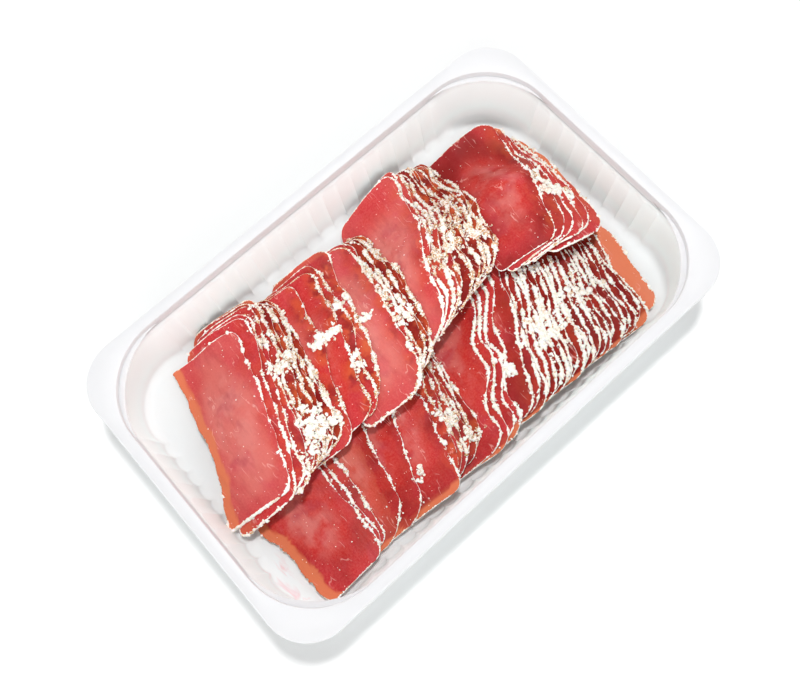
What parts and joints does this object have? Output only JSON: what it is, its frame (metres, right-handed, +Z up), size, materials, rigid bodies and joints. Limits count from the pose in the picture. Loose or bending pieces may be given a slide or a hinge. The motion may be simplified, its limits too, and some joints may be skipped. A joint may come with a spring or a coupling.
{
  "type": "open tray of shingled cured pork loin slices",
  "caption": "White ribbed food tray with two shingled rows of thin cured pork loin slices, each slice edged with a pale crumbly coating.",
  "frame": {"origin": "centre of the tray's underside, on the surface that it stands on", "axes": "+X along the tray's long side, from the end with the widely shown slices to the end with the dense ones; +Y from the near long wall to the far one; +Z up"},
  "size_m": [0.262, 0.166, 0.04],
  "materials": {
    "tray": "satin white, slightly see-through thermoformed plastic",
    "meat": "moist cured meat, deep red to pink, orange towards the rims",
    "coat": "dry, lumpy, off-white coating with tan tinges",
    "juice": "thin wet film of meat juice"
  },
  "bodies": {
    "root": {"tray": "tray", "slice_lower_01": "meat", "slice_lower_02": "meat", "slice_lower_03": "meat", "slice_lower_04": "meat", "slice_lower_05": "meat", "slice_lower_06": "meat", "slice_lower_07": "meat", "slice_lower_08": "meat", "slice_lower_09": "meat", "slice_lower_10": "meat", "slice_lower_11": "meat", "slice_lower_12": "meat", "slice_lower_13": "meat", "slice_lower_14": "meat", "slice_lower_15": "meat", "slice_lower_16": "meat", "slice_lower_17": "meat", "slice_lower_18": "meat", "slice_lower_19": "meat", "slice_lower_20": "meat", "slice_lower_21": "meat", "slice_lower_22": "meat", "slice_lower_23": "meat", "slice_lower_24": "meat", "slice_lower_25": "meat", "slice_lower_26": "meat", "slice_lower_27": "meat", "slice_lower_28": "meat", "slice_lower_29": "meat", "slice_upper_01": "meat", "slice_upper_02": "meat", "slice_upper_03": "meat", "slice_upper_04": "meat", "slice_upper_05": "meat", "slice_upper_06": "meat", "slice_upper_07": "meat", "slice_upper_08": "meat", "slice_upper_09": "meat", "slice_upper_10": "meat", "slice_upper_11": "meat", "slice_upper_12": "meat", "slice_upper_13": "meat", "slice_upper_14": "meat", "slice_upper_15": "meat", "slice_upper_16": "meat", "slice_upper_17": "meat", "slice_upper_18": "meat", "slice_upper_19": "meat", "slice_upper_20": "meat", "slice_upper_21": "meat", "slice_upper_22": "meat", "slice_upper_23": "meat", "slice_upper_24": "meat", "slice_upper_25": "meat", "slice_upper_26": "meat", "slice_upper_27": "meat", "slice_upper_28": "meat", "slice_upper_29": "meat", "slice_upper_30": "meat"}
  },
  "joints": []
}
